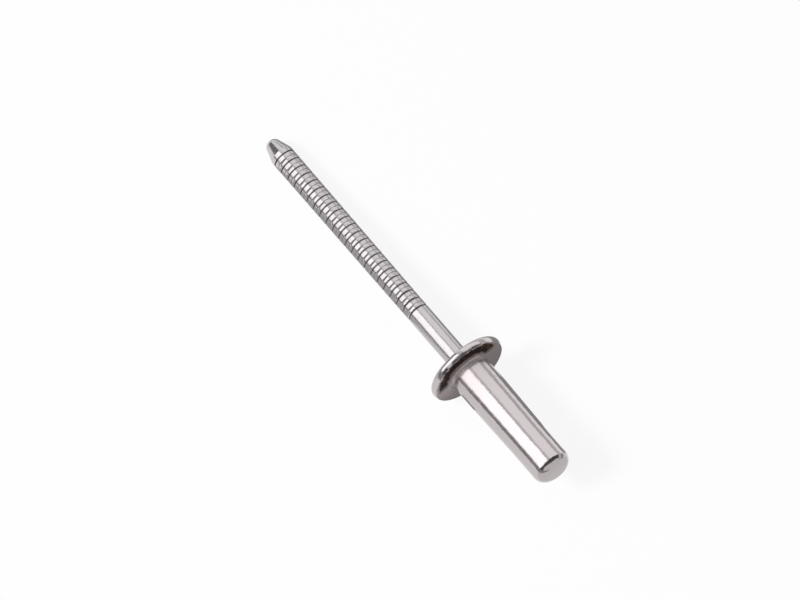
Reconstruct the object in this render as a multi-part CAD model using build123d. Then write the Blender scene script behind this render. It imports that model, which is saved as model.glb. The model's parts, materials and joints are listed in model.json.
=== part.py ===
from build123d import *
import os
from math import asin, atan2, cos, degrees, hypot, sin, sqrt

# A closed-end blind rivet in stainless steel, as it is sold: a shell with a flanged
# head, swaged onto a pulling mandrel. Sizes are in millimetres.
#
# Each piece is turned about the X axis from its half section. X is 0 on the flange's
# underside, which seats on the sheet. The shell's shank runs towards +X and ends blind;
# the mandrel leaves the head towards -X. The rivet is then tipped as it lies on a table.

# Shell: the flanged head
flange_diameter = 8.0
rim_thickness = 0.8
rim_radius = 0.25
seat_edge_chamfer = 0.08
head_height = 1.3
root_chamfer = 0.4

# Shell: the shank, a little larger under the head than at its blind end
shank_diameter = 4.08
shank_straight = 2.5
taper_length = 6.0
tail_diameter = 3.87
body_length = 13.5
tail_corner_radius = 1.1

# Shell: the wall that closes the bore, and how closely the shell fits the mandrel
end_wall = 1.35
swage_clearance = 0.03
end_clearance = 0.05
mouth_chamfer = 0.1

# Mandrel: the plain wire, its headed end in the shell, and the neck where it breaks
wire_diameter = 2.2
mandrel_head_diameter = 2.95
mandrel_head_length = 0.95
neck_diameter = 1.6
neck_width = 0.5
neck_offset = 0.15

# Mandrel: rolled rings for the pulling jaws, each a flat land and a sloping shoulder
# between narrow grooves. The rolls bite deeper, and lift the lands more, near the tip.
first_groove = 7.9
groove_pitch = 1.0
groove_count = 22
groove_width = 0.17
land_width = 0.36
land_diameter_at_tip = 2.36
groove_depth_at_head = 0.06
groove_depth_at_tip = 0.1
shoulder_drop = 0.035

# Mandrel: the blunt conical tip that finds its way into the tool
end_land_width = 0.45
tip_length = 1.9
tip_radius = 0.8

# How the rivet lies: it has rolled to this turn about its own axis, in degrees
rolled_turn = 3.0

# Worked out from the sizes above
flange_radius = flange_diameter / 2
crown_radius = (flange_radius**2 + (head_height - rim_thickness) ** 2) / (2 * (head_height - rim_thickness))
shank_radius = shank_diameter / 2
tail_radius = tail_diameter / 2
wire_radius = wire_diameter / 2
mandrel_head_radius = mandrel_head_diameter / 2
bore_radius = wire_radius + swage_clearance
pocket_radius = mandrel_head_radius + swage_clearance
taper_start = root_chamfer + shank_straight
taper_end = taper_start + taper_length
pocket_end = body_length - end_wall
mandrel_end = pocket_end - end_clearance
head_cone_end = mandrel_end - mandrel_head_length
head_cone_start = head_cone_end - (mandrel_head_radius - wire_radius)
neck_end = head_cone_start - neck_offset
last_groove = first_groove + (groove_count - 1) * groove_pitch
tip_land_radius = land_diameter_at_tip / 2
tip_base = last_groove + groove_width / 2 + end_land_width
tip_end = tip_base + tip_length


def corner(section, x, y):
    """The section's corner at a place, for a fillet or a chamfer."""
    return section.vertices().sort_by_distance((x, y, 0))[0]


def towards_tip(size_at_head, size_at_tip, groove):
    """A ring's size, which grows evenly from the groove nearest the head to the tip."""
    share = groove / max(groove_count - 1, 1)
    return size_at_head + (size_at_tip - size_at_head) * share


def rivet_body():
    """The shell: one cold-formed cup with its flange, closed round the mandrel."""
    mouth = -head_height + crown_radius - sqrt(crown_radius**2 - bore_radius**2)
    with BuildPart() as shell:
        with BuildSketch() as section:
            with BuildLine():
                RadiusArc((mouth, bore_radius), (-rim_thickness, flange_radius), crown_radius)
                Polyline(
                    (-rim_thickness, flange_radius),
                    (0, flange_radius),
                    (0, shank_radius),
                    (taper_start, shank_radius),
                    (taper_end, tail_radius),
                    (body_length, tail_radius),
                    (body_length, 0),
                    (pocket_end, 0),
                    (pocket_end, pocket_radius),
                    (head_cone_end, pocket_radius),
                    (head_cone_start, bore_radius),
                    (mouth, bore_radius),
                )
            make_face()
            fillet(corner(section, -rim_thickness, flange_radius), rim_radius)
            fillet(corner(section, body_length, tail_radius), tail_corner_radius)
            chamfer(corner(section, 0, shank_radius), root_chamfer)
            chamfer(corner(section, 0, flange_radius), seat_edge_chamfer)
            chamfer(corner(section, mouth, bore_radius), mouth_chamfer)
        revolve(axis=Axis.X)
    return shell.part


def ring_outline(groove):
    """One groove with the land above it, and the shoulder that slopes there from the groove before."""
    land = towards_tip(wire_radius, tip_land_radius, groove)
    depth = towards_tip(groove_depth_at_head, groove_depth_at_tip, groove)
    centre = -(first_groove + groove * groove_pitch)
    land_start = centre + groove_width / 2 + land_width
    if groove > 0:
        Line((centre + groove_pitch - groove_width / 2, land - shoulder_drop), (land_start, land))
    if groove < groove_count - 1:
        next_start = towards_tip(wire_radius, tip_land_radius, groove + 1) - shoulder_drop
    else:
        next_start = land
    Polyline(
        (land_start, land),
        (centre + groove_width / 2, land),
        (centre, land - depth),
        (centre - groove_width / 2, next_start),
    )


def mandrel():
    """The mandrel: one headed wire with a break neck, rolled rings and a blunt tip."""
    plain_end = -(first_groove - groove_width / 2 - land_width)
    nose_centre = tip_length - tip_radius
    tip_angle = atan2(tip_land_radius, nose_centre) - asin(tip_radius / hypot(nose_centre, tip_land_radius))
    nose_start = (
        -(tip_base + nose_centre + tip_radius * sin(tip_angle)),
        tip_radius * cos(tip_angle),
    )
    with BuildPart() as wire:
        with BuildSketch():
            with BuildLine():
                Polyline(
                    (mandrel_end, 0),
                    (mandrel_end, mandrel_head_radius),
                    (head_cone_end, mandrel_head_radius),
                    (head_cone_start, wire_radius),
                    (neck_end, wire_radius),
                    (neck_end - neck_width / 2, neck_diameter / 2),
                    (neck_end - neck_width, wire_radius),
                    (plain_end, wire_radius),
                )
                for groove in range(groove_count):
                    ring_outline(groove)
                Polyline(
                    (-(last_groove + groove_width / 2), tip_land_radius),
                    (-tip_base, tip_land_radius),
                    nose_start,
                )
                RadiusArc(nose_start, (-tip_end, 0), -tip_radius)
                Line((-tip_end, 0), (mandrel_end, 0))
            make_face()
        revolve(axis=Axis.X)
    return wire.part


def rest_angle():
    """How far the shank's blind end is raised when the rivet lies on its rim and its last land."""
    along = tip_base - (rim_thickness - rim_radius)
    across = (flange_radius - rim_radius) - tip_land_radius
    return degrees(atan2(across, along) + asin(rim_radius / hypot(along, across)))


os.makedirs("parts", exist_ok=True)
lying = Rot(0, -rest_angle(), 0) * Rot(rolled_turn, 0, 0)
export_step(lying * rivet_body(), "parts/rivet_body.step")
export_step(lying * mandrel(), "parts/mandrel.step")
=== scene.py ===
import json
from math import asin, atan2, cos, hypot, pi, radians, sin, sqrt, tan

import bmesh
import bpy
from mathutils import Matrix, Vector


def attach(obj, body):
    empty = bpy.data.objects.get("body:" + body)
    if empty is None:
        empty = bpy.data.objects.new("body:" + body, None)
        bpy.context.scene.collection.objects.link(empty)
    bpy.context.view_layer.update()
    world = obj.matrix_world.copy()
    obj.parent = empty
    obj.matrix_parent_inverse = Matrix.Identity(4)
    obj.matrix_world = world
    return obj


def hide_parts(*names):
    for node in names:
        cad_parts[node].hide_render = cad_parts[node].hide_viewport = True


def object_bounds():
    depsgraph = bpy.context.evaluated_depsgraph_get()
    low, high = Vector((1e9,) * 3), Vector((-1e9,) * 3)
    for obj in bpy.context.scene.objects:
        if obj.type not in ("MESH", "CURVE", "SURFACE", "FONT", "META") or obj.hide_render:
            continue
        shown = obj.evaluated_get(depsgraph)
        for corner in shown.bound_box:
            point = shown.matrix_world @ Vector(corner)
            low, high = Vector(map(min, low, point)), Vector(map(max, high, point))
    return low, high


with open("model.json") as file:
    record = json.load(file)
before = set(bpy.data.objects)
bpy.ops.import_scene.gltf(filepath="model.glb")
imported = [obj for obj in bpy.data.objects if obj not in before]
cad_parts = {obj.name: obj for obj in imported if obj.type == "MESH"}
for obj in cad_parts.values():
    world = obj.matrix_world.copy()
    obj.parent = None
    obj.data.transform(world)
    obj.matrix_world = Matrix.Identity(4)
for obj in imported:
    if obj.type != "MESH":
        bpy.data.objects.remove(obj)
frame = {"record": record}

cad_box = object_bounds()

# The shell of the rivet, in stainless steel: one cup, drawn and headed cold, so that its
# shank is closed at the end and its flange is one piece with it. It is tumbled bright.
# Its section is drawn in millimetres, with the seat of the flange at 0 and the shank along +X.
MM = 0.001
TURN_STEPS = 192
ROUND_STEPS = 8
SHARP_ANGLE = 14
flange_radius = 4.0
rim_thickness = 0.8
rim_radius = 0.36
rim_slope_start = -0.42
rim_slope_end_radius = 3.88
rim_slope_steps = 3
seat_edge_radius = 0.12
head_height = 1.3
crown_inset = 1.6 * rim_radius
crown_steps = 10
shank_radius = 2.04
tail_radius = 1.935
root_radius = 0.4
taper_start = 2.9
taper_end = 8.9
body_length = 13.5
tail_corner_radius = 1.1
bore_radius = 1.13
mouth_radius = 0.08
pocket_end = 12.15
pocket_radius = 1.505
pocket_cone = (10.775, 11.15)

head_seat = next(m for m in frame["record"]["mounts"] if m["name"] == "head_seat")
rivet_axis = Vector(head_seat["axis"])
lie_angle = atan2(rivet_axis.z, rivet_axis.x)
lying = Matrix.Rotation(-lie_angle, 4, "Y")


def section_line(bm, points):
    """Joined points of a half section, each a place along the axis and a radius."""
    verts = [bm.verts.new((x, 0, r)) for x, r in points]
    for pair in zip(verts, verts[1:]):
        bm.edges.new(pair)
    return verts


def round_corner(bm, vert, radius, turn=pi / 2, steps=ROUND_STEPS):
    """Rounds one corner of a half section, where its line turns by an angle."""
    bmesh.ops.bevel(
        bm, geom=[vert], offset=radius * tan(turn / 2), offset_type="OFFSET",
        segments=steps, profile=0.5, affect="VERTICES", material=-1,
    )


def turned_piece(name, bm):
    """Turns a half section about the rivet's axis, and lays the closed piece down."""
    bmesh.ops.spin(
        bm, geom=bm.verts[:] + bm.edges[:], cent=(0, 0, 0), axis=(1, 0, 0),
        angle=2 * pi, steps=TURN_STEPS, use_merge=True,
    )
    bmesh.ops.remove_doubles(bm, verts=bm.verts, dist=1e-5)
    bmesh.ops.recalc_face_normals(bm, faces=bm.faces)
    bmesh.ops.scale(bm, vec=(MM, MM, MM), verts=bm.verts)
    bmesh.ops.transform(bm, matrix=lying, verts=bm.verts)
    mesh = bpy.data.meshes.new(name)
    bm.to_mesh(mesh)
    bm.free()
    for face in mesh.polygons:
        face.use_smooth = True
    mesh.set_sharp_from_angle(angle=radians(SHARP_ANGLE))
    piece = bpy.data.objects.new(name, mesh)
    bpy.context.scene.collection.objects.link(piece)
    return piece


crown_rise = head_height - rim_thickness
crown_radius = (flange_radius**2 + crown_rise**2) / (2 * crown_rise)
crown_centre = crown_radius - head_height
crown_end = flange_radius - crown_inset
crown = []
for step in range(crown_steps):
    r = bore_radius + (crown_end - bore_radius) * step / (crown_steps - 1)
    crown.append((crown_centre - sqrt(crown_radius**2 - r**2), r))

bm = bmesh.new()
verts = section_line(bm, crown + [
    (-rim_thickness, flange_radius),
    (rim_slope_start, flange_radius),
    (0, rim_slope_end_radius),
    (0, shank_radius),
    (taper_start, shank_radius),
    (taper_end, tail_radius),
    (body_length, tail_radius),
    (body_length, 0),
])
inner = section_line(bm, [
    (pocket_end, 0),
    (pocket_end, pocket_radius),
    (pocket_cone[1], pocket_radius),
    (pocket_cone[0], bore_radius),
])
bm.edges.new((inner[-1], verts[0]))
mouth = verts[0]
rim_front, rim_back, seat_edge, root, _, _, tail_corner, _ = verts[crown_steps:]
rim_turn = pi / 2 - asin(flange_radius / crown_radius)
slope_turn = atan2(flange_radius - rim_slope_end_radius, -rim_slope_start)
round_corner(bm, mouth, mouth_radius)
round_corner(bm, rim_front, rim_radius, rim_turn)
round_corner(bm, rim_back, rim_radius, slope_turn, steps=rim_slope_steps)
round_corner(bm, seat_edge, seat_edge_radius, pi / 2 - slope_turn)
round_corner(bm, root, root_radius)
round_corner(bm, tail_corner, tail_corner_radius, steps=2 * ROUND_STEPS)
shell = turned_piece("rivet_body", bm)


def add_node(owner, kind, inputs=None, **settings):
    """Adds a shader node with its settings, and gives its inputs their values or their links."""
    node = owner.node_tree.nodes.new(kind)
    for name, value in settings.items():
        setattr(node, name, value)
    for name, value in (inputs or {}).items():
        if isinstance(value, bpy.types.NodeSocket):
            owner.node_tree.links.new(value, node.inputs[name])
        else:
            node.inputs[name].default_value = value
    return node


def combine(owner, operation, *values):
    """Joins numbers or links by one operation of a math node."""
    inputs = dict(enumerate(values))
    return add_node(owner, "ShaderNodeMath", inputs, operation=operation).outputs["Value"]


def ramp(owner, source, points):
    """Values over a length or a noise: a ramp through pairs of an input and a value."""
    low, high = points[0][0], points[-1][0]
    fit = add_node(owner, "ShaderNodeMapRange", {
        "Value": source, "From Min": low, "From Max": high,
    })
    curve = add_node(owner, "ShaderNodeFloatCurve", {"Value": fit.outputs["Result"]})
    knots = curve.mapping.curves[0].points
    knots[0].location = (0, points[0][1])
    knots[1].location = (1, points[-1][1])
    for at, value in points[1:-1]:
        knots.new((at - low) / (high - low), value)
    for knot in knots:
        knot.handle_type = "VECTOR"
    curve.mapping.update()
    return curve.outputs["Value"]


def steel(name, colour, roughness, dent_size, dent_depth, line_depth):
    """Bright stainless steel, with shallow dents and fine drawn lines along the rivet, in mm."""
    line_scale = 9000
    line_stretch = 0.12
    noise_span = (0.3, 0.7)
    roughness_spread = (0.7, 1.4)
    metal = bpy.data.materials.new(name)
    metal.use_nodes = True
    shader = metal.node_tree.nodes["Principled BSDF"]
    shader.inputs["Metallic"].default_value = 1.0
    shader.inputs["Base Color"].default_value = colour
    place = add_node(metal, "ShaderNodeTexCoord")
    along = add_node(metal, "ShaderNodeMapping", {
        "Vector": place.outputs["Object"], "Rotation": (0, lie_angle, 0),
    }, name="Along").outputs["Vector"]
    stretched = add_node(metal, "ShaderNodeMapping", {
        "Vector": along, "Scale": (line_stretch, 1, 1),
    }).outputs["Vector"]
    dents = add_node(metal, "ShaderNodeTexNoise", {
        "Vector": along, "Scale": 1 / (dent_size * MM), "Detail": 2,
    }).outputs["Fac"]
    lines = add_node(metal, "ShaderNodeTexNoise", {
        "Vector": stretched, "Scale": line_scale, "Detail": 2,
    }).outputs["Fac"]
    dented = add_node(metal, "ShaderNodeBump", {"Height": dents, "Distance": dent_depth * MM})
    drawn = add_node(metal, "ShaderNodeBump", {
        "Height": lines, "Distance": line_depth * MM, "Normal": dented.outputs["Normal"],
    })
    metal.node_tree.links.new(drawn.outputs["Normal"], shader.inputs["Normal"])
    dull = add_node(metal, "ShaderNodeMapRange", {
        "Value": dents, "From Min": noise_span[0], "From Max": noise_span[1],
        "To Min": roughness * roughness_spread[0], "To Max": roughness * roughness_spread[1],
    })
    metal.node_tree.links.new(dull.outputs["Result"], shader.inputs["Roughness"])
    return metal


def blended(owner, share, first, second):
    """A colour that goes from the first to the second by a share."""
    return add_node(owner, "ShaderNodeMix", {
        "Factor": share, "A": first, "B": second,
    }, data_type="RGBA").outputs["Result"]


shell_bright = (0.65, 0.595, 0.605, 1)
# Painted shade: darker, browner steel along the root, where the shank meets the flange.
root_shade = (0.40, 0.34, 0.33, 1)
# Painted shade and painted dark reflection, partly a stain: the dark brown colours of the patch
# under the flange.
stain_and_shade_dark = (0.022, 0.014, 0.012, 1)
stain_and_shade_brown = (0.16, 0.075, 0.035, 1)
blot_scale = 1100
rust_scale = 1900
# The dark brown patch under the flange, in metres: partly a stain, partly painted shade and
# painted dark reflection, in a ragged ring round a centre, on the upper half and near the seat.
# Each ramp is pairs of a place and a share, as is the painted shade along the root.
stain_and_shade_centre = (0, -0.0001, 0.0004)
stain_and_shade_up = (0, -0.25, 0.97)
stain_and_shade_raggedness = 0.0014
stain_roughness = 0.45
stain_cover = 0.8
stain_and_shade_ring = [(0.0026, 0), (0.0030, 0.5), (0.0032, 1), (0.0041, 1), (0.0043, 0)]
stain_and_shade_height = [(0.0003, 0), (0.0012, 1)]
stain_and_shade_depth = [(-0.00006, 0), (-0.00003, 1), (0.0002, 1), (0.0004, 0)]
root_depth = [(-0.00005, 0), (-0.00002, 0.7), (0.00035, 0.7), (0.0006, 0.15), (0.004, 0)]
rust_patches = [(0.5, 0), (0.72, 1)]

shell_steel = steel(
    "shell_steel", shell_bright,
    roughness=0.12, dent_size=0.5, dent_depth=0.012, line_depth=0.0004,
)
shader = shell_steel.node_tree.nodes["Principled BSDF"]
along = shell_steel.node_tree.nodes["Along"].outputs["Vector"]
split = add_node(shell_steel, "ShaderNodeSeparateXYZ", {"Vector": along})
flat = add_node(shell_steel, "ShaderNodeCombineXYZ", {
    "Y": split.outputs["Y"], "Z": split.outputs["Z"],
}).outputs["Vector"]
reach = add_node(shell_steel, "ShaderNodeVectorMath", {
    0: flat, 1: stain_and_shade_centre,
}, operation="DISTANCE").outputs["Value"]
height = add_node(shell_steel, "ShaderNodeVectorMath", {
    0: flat, 1: stain_and_shade_up,
}, operation="DOT_PRODUCT").outputs["Value"]
blots = add_node(shell_steel, "ShaderNodeTexNoise", {
    "Vector": along, "Scale": blot_scale, "Detail": 5, "Roughness": 0.7,
}).outputs["Fac"]
rust = add_node(shell_steel, "ShaderNodeTexNoise", {
    "Vector": along, "Scale": rust_scale, "Detail": 3,
}).outputs["Fac"]

# The patch under the flange is partly a stain, partly painted shade and painted dark reflection:
# dark brown steel near the seat, on its upper half.
ragged = combine(shell_steel, "MULTIPLY_ADD", blots, stain_and_shade_raggedness, reach)
ring = ramp(shell_steel, ragged, stain_and_shade_ring)
upper_half = ramp(shell_steel, height, stain_and_shade_height)
seat_side = ramp(shell_steel, split.outputs["X"], stain_and_shade_depth)
seat_ring = combine(shell_steel, "MULTIPLY", ring, seat_side)
stain_and_shade = combine(shell_steel, "MULTIPLY", seat_ring, upper_half)
# Painted shade along the root of the shank, under the flange: a darker, browner band.
root_ring = ramp(shell_steel, split.outputs["X"], root_depth)
brown = blended(shell_steel, ramp(shell_steel, rust, rust_patches), stain_and_shade_dark, stain_and_shade_brown)
root_shaded = blended(shell_steel, root_ring, shell_bright, root_shade)
stained_and_shaded = blended(shell_steel, stain_and_shade, root_shaded, brown)
worn = combine(shell_steel, "MAXIMUM", root_ring, stain_and_shade)
clean_roughness = shader.inputs["Roughness"].links[0].from_socket
gloss = combine(shell_steel, "MULTIPLY_ADD", worn, stain_roughness, clean_roughness)
bare = combine(shell_steel, "MULTIPLY_ADD", stain_and_shade, -stain_cover, 1.0)
links = shell_steel.node_tree.links
links.new(stained_and_shaded, shader.inputs["Base Color"])
links.new(gloss, shader.inputs["Roughness"])
links.new(bare, shader.inputs["Metallic"])
shader.inputs["Specular IOR Level"].default_value = 0.08
shell.data.materials.append(shell_steel)

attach(shell, "root")
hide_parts("rivet_body")

# The mandrel, in stainless steel wire: its head is held in the closed shell, and its long
# end, with rings rolled into it for the tool's jaws, leaves the flange and ends in a blunt tip.
wire_radius = 1.1
wire_head_radius = 1.475
wire_head_end = 12.1
wire_head_cone = (10.775, 11.15)
neck_radius = 0.8
neck_span = (10.125, 10.375, 10.625)
first_groove = 7.9
groove_pitch = 1.0
groove_count = 22
groove_width = 0.16
groove_floor_share = 1 / 3
land_width = 0.37
step_width = 0.035
step_notch = 0.004
land_radius_at_tip = 1.18
groove_depth_at_head = 0.06
groove_depth_at_tip = 0.1
bead_drop = 0.035
bead_rise = 0.042
bead_steps = 6
end_land_width = 0.45
tip_length = 1.9
tip_radius = 0.8
nose_steps = 14

tip_base = first_groove + (groove_count - 1) * groove_pitch + groove_width / 2 + end_land_width


def rolled_rings():
    """The ringed length's half section: in each ring a groove, a flat land and a rounded bead."""
    floor = groove_width * groove_floor_share / 2
    points = []
    for groove in range(groove_count):
        share = groove / (groove_count - 1)
        land = wire_radius + (land_radius_at_tip - wire_radius) * share
        depth = groove_depth_at_head + (groove_depth_at_tip - groove_depth_at_head) * share
        centre = -(first_groove + groove * groove_pitch)
        land_start = centre + groove_width / 2 + land_width
        if groove > 0:
            bead_start = centre + groove_pitch - groove_width / 2
            bead_length = bead_start - land_start - step_width
            for step in range(bead_steps + 1):
                along = step / bead_steps
                rise = bead_rise * (1 - (2 * along - 1) ** 2)
                points.append((bead_start - bead_length * along, land - bead_drop + rise))
            points.append((land_start + step_width / 2, land - bead_drop - step_notch))
        points.append((land_start, land))
        points.append((centre + groove_width / 2, land))
        points.append((centre + floor, land - depth))
        points.append((centre - floor, land - depth))
    points.append((centre - groove_width / 2, land_radius_at_tip))
    return points


nose_centre = tip_length - tip_radius
nose_reach = hypot(nose_centre, land_radius_at_tip)
tip_angle = atan2(land_radius_at_tip, nose_centre) - asin(tip_radius / nose_reach)
nose = []
for step in range(nose_steps + 1):
    angle = tip_angle + (pi / 2 - tip_angle) * step / nose_steps
    nose.append((-(tip_base + nose_centre + tip_radius * sin(angle)), tip_radius * cos(angle)))
bm = bmesh.new()
section_line(bm, [
    (wire_head_end, 0),
    (wire_head_end, wire_head_radius),
    (wire_head_cone[1], wire_head_radius),
    (wire_head_cone[0], wire_radius),
    (neck_span[2], wire_radius),
    (neck_span[1], neck_radius),
    (neck_span[0], wire_radius),
] + rolled_rings() + [(-tip_base, land_radius_at_tip)] + nose)
wire = turned_piece("mandrel", bm)

wire_bright = (0.61, 0.58, 0.595, 1)
# Painted shade and dirt: the darker steel of the grooves.
groove_shade_and_dirt = (0.20, 0.155, 0.165, 1)
wire.data.materials.append(steel(
    "mandrel_steel", wire_bright,
    roughness=0.19, dent_size=0.4, dent_depth=0.006, line_depth=0.0005,
))
wire.data.materials.append(steel(
    "groove_shade_and_dirt_steel", groove_shade_and_dirt,
    roughness=0.35, dent_size=0.4, dent_depth=0.003, line_depth=0.0004,
))
# The faces inside each rolled groove take the darker steel: painted shade of the deep, narrow
# grooves, and dirt in them.
for face in wire.data.polygons:
    place = rivet_axis.dot(face.center) / MM + first_groove
    if -groove_count * groove_pitch < place < groove_width:
        phase = (-place + groove_pitch / 2) % groove_pitch - groove_pitch / 2
        if abs(phase) < groove_width / 2:
            face.material_index = 1

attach(wire, "root")
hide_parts("mandrel")

# The table under the rivet: a plain sheet of white paper, laid flat. The camera and the
# metal see it nearly white, and it still takes the rivet's soft shadow.
table_top = cad_box[0][2]
floor_size = 6.0
paper_white = (0.8, 0.8, 0.8, 1)
paper_glow = 0.9
bm = bmesh.new()
bmesh.ops.create_grid(
    bm, x_segments=1, y_segments=1, size=floor_size,
    matrix=Matrix.Translation((0, 0, table_top)),
)
mesh = bpy.data.meshes.new("table")
bm.to_mesh(mesh)
bm.free()
table = bpy.data.objects.new("table", mesh)
bpy.context.scene.collection.objects.link(table)


def seen_directly(owner):
    """1 on rays from the camera, off bright metal or through glass, and 0 on those that light."""
    rays = add_node(owner, "ShaderNodeLightPath").outputs
    seen = combine(owner, "MAXIMUM", rays["Is Camera Ray"], rays["Is Glossy Ray"])
    return combine(owner, "MAXIMUM", seen, rays["Is Transmission Ray"])


paper = bpy.data.materials.new("table_paper")
paper.use_nodes = True
paper.node_tree.nodes.clear()
diffuse = add_node(paper, "ShaderNodeBsdfDiffuse", {"Color": paper_white})
glow = add_node(paper, "ShaderNodeEmission", {"Strength": 1.0})
mix = add_node(paper, "ShaderNodeMixShader", {
    "Fac": combine(paper, "MULTIPLY", seen_directly(paper), paper_glow),
    1: diffuse.outputs["BSDF"], 2: glow.outputs["Emission"],
})
add_node(paper, "ShaderNodeOutputMaterial", {"Surface": mix.outputs["Shader"]})
table.data.materials.append(paper)

# Grey cards that stand and lie round the rivet, in metres. Only the metal sees them, and they
# draw the bands of grey along it. Three dark ones make an arch on the camera's side.
card_foot = -0.02
long_card_half = 2.0
long_card_lift = 0.0045
lens_x = (0.05, 0.78)
lens_reach = 1.0
lens_grey = 0.07


def card(name, corners, grey):
    """A card out of the camera's sight, with its grey as seen in the metal."""
    bm = bmesh.new()
    bm.faces.new([bm.verts.new(corner) for corner in corners])
    mesh = bpy.data.meshes.new(name)
    bm.to_mesh(mesh)
    bm.free()
    sheet = bpy.data.objects.new(name, mesh)
    bpy.context.scene.collection.objects.link(sheet)
    sheet.visible_camera = False
    sheet.visible_diffuse = False
    sheet.visible_shadow = False
    felt = bpy.data.materials.new(name)
    felt.use_nodes = True
    felt.node_tree.nodes.clear()
    plain = add_node(felt, "ShaderNodeEmission", {"Strength": grey})
    add_node(felt, "ShaderNodeOutputMaterial", {"Surface": plain.outputs["Emission"]})
    sheet.data.materials.append(felt)


def long_card(name, grey, angles, distances=(1.0, 1.0)):
    """A card along the rivet, with its edges at two angles over it, from the table's front."""
    low, high = [
        (-far * cos(radians(angle)), far * sin(radians(angle)) + long_card_lift)
        for angle, far in zip(angles, distances)
    ]
    left, right = -long_card_half, long_card_half
    card(name, [(left, *low), (right, *low), (right, *high), (left, *high)], grey)


def end_card(name, grey, x, y, top):
    """A card that stands across the table beyond the tip or the closed end."""
    corners = [(x, y[0], card_foot), (x, y[1], card_foot), (x, y[1], top), (x, y[0], top)]
    card(name, corners, grey)


def side_card(name, grey, x, y, top):
    """A card that stands along the table, on one side of the rivet."""
    corners = [(x[0], y, card_foot), (x[1], y, card_foot), (x[1], y, top), (x[0], y, top)]
    card(name, corners, grey)


def level_card(name, grey, x, y, height=0.0002):
    """A card that lies level at a height over the table."""
    z = table_top + height
    card(name, [(x[0], y[0], z), (x[1], y[0], z), (x[1], y[1], z), (x[0], y[1], z)], grey)


long_card("card_front", 0.27, angles=(-6, 16.5), distances=(0.06, 1.0))
long_card("card_back", 0.55, angles=(151, 171))
long_card("card_top", 0.66, angles=(82, 97), distances=(1.1, 1.1))
end_card("card_tip", 0.18, x=-1.0, y=(-1.5, 0.0), top=1.0)
end_card("card_tail", 0.67, x=1.0, y=(-1.5, 1.5), top=1.6)
level_card("card_lens", lens_grey, x=lens_x, y=(-lens_reach, lens_reach), height=1.0)
side_card("card_lens_front", lens_grey, x=lens_x, y=-lens_reach, top=1.0)
side_card("card_lens_back", lens_grey, x=lens_x, y=lens_reach, top=1.0)
# Painted shadow: card_side, card_under, card_under_front, card_rings and card_rings_front are
# dark cards that stand, in the metal, for the table in shadow round and under the rivet.
level_card("card_side", 0.3, x=(-0.009, 0.012), y=(0.008, 0.026))
level_card("card_near", 0.84, x=(-0.009, 0.03), y=(-0.06, -0.0008), height=0.0001)
level_card("card_under", 0.3, x=(0.0003, 0.007), y=(0.0, 0.008))
level_card("card_under_front", 0.32, x=(0.0003, 0.0022), y=(-0.0045, 0.0))
level_card("card_tail_floor", 0.69, x=(0.0145, 0.9), y=(-0.6, 0.6), height=0.0003)
level_card("card_rings", 0.40, x=(-0.041, -0.0015), y=(0.0008, 0.026), height=0.0001)
level_card("card_rings_front", 0.5, x=(-0.029, -0.009), y=(-0.03, -0.0008))

# The light: one long soft light over the front half of the table, in a white room. A small
# lamp, which the metal doesn't show, gives the rivet its soft shadow.
key_angle = 52
key_half_span = 30
key_distance = 1.2
key_span_x = (-1.2, 0.2)
key_level = 0.65
lamp_angle = 50
lamp_side = -0.2
lamp_distance = 0.9
lamp_size = 0.25
lamp_power = 8.0
room_light = 0.25
room_seen = 1.0


def hang(name, light, place, offset=(0, 0, 0)):
    """Hangs a light at a place and an offset, turned as if from the place to the rivet."""
    lamp = bpy.data.objects.new(name, light)
    bpy.context.scene.collection.objects.link(lamp)
    lamp.location = place + Vector(offset)
    lamp.rotation_mode = "QUATERNION"
    lamp.rotation_quaternion = (-place).to_track_quat("-Z", "Y")
    return lamp


key = bpy.data.lights.new("key", "AREA")
key.shape = "RECTANGLE"
key.size = key_span_x[1] - key_span_x[0]
key.size_y = 2 * key_distance * tan(radians(key_half_span))
key.energy = key_level * key.size * key.size_y * pi
over_front = Vector((0, -cos(radians(key_angle)), sin(radians(key_angle))))
hang("key", key, over_front * key_distance, offset=(sum(key_span_x) / 2, 0, 0))

shadow_lamp = bpy.data.lights.new("shadow_lamp", "AREA")
shadow_lamp.shape = "DISK"
shadow_lamp.size = lamp_size
shadow_lamp.energy = lamp_power
over_tip = Vector((lamp_side, -cos(radians(lamp_angle)), sin(radians(lamp_angle))))
hang("shadow_lamp", shadow_lamp, over_tip * lamp_distance).visible_glossy = False

studio = bpy.data.worlds.new("studio")
bpy.context.scene.world = studio
studio.use_nodes = True
backdrop = studio.node_tree.nodes["Background"]
level = add_node(studio, "ShaderNodeMapRange", {
    "Value": seen_directly(studio), "To Min": room_light, "To Max": room_seen,
})
backdrop.inputs["Color"].default_value = (1, 1, 1, 1)
studio.node_tree.links.new(level.outputs["Result"], backdrop.inputs["Strength"])

# The camera, high over the closed end, with the rivet at the photograph's scale. It is set so
# that the middle of the flange's seat falls on one pixel of the picture.
azimuth = radians(52.63)
elevation = radians(68.0)
distance = 0.8
pixels_per_mm = 10.65
frame_width, frame_height = 800, 600
seat_pixel = (469.3, 371.6)
sensor_width = 36.0
back = Vector((sin(azimuth) * cos(elevation), -cos(azimuth) * cos(elevation), sin(elevation)))
right = Vector((cos(azimuth), sin(azimuth), 0))
up = back.cross(right)
target = (
    right * (frame_width / 2 - seat_pixel[0]) + up * (seat_pixel[1] - frame_height / 2)
) * MM / pixels_per_mm
camera_data = bpy.data.cameras.new("camera")
camera_data.sensor_width = sensor_width
camera_data.lens = pixels_per_mm / MM * distance / frame_width * sensor_width
camera_data.clip_start = 0.05
camera_data.clip_end = 20.0
camera = bpy.data.objects.new("camera", camera_data)
bpy.context.scene.collection.objects.link(camera)
camera.matrix_world = Matrix.Translation(target + back * distance) @ Matrix(
    (right, up, back)
).transposed().to_4x4()
bpy.context.scene.camera = camera
bpy.context.scene.view_settings.view_transform = "Standard"
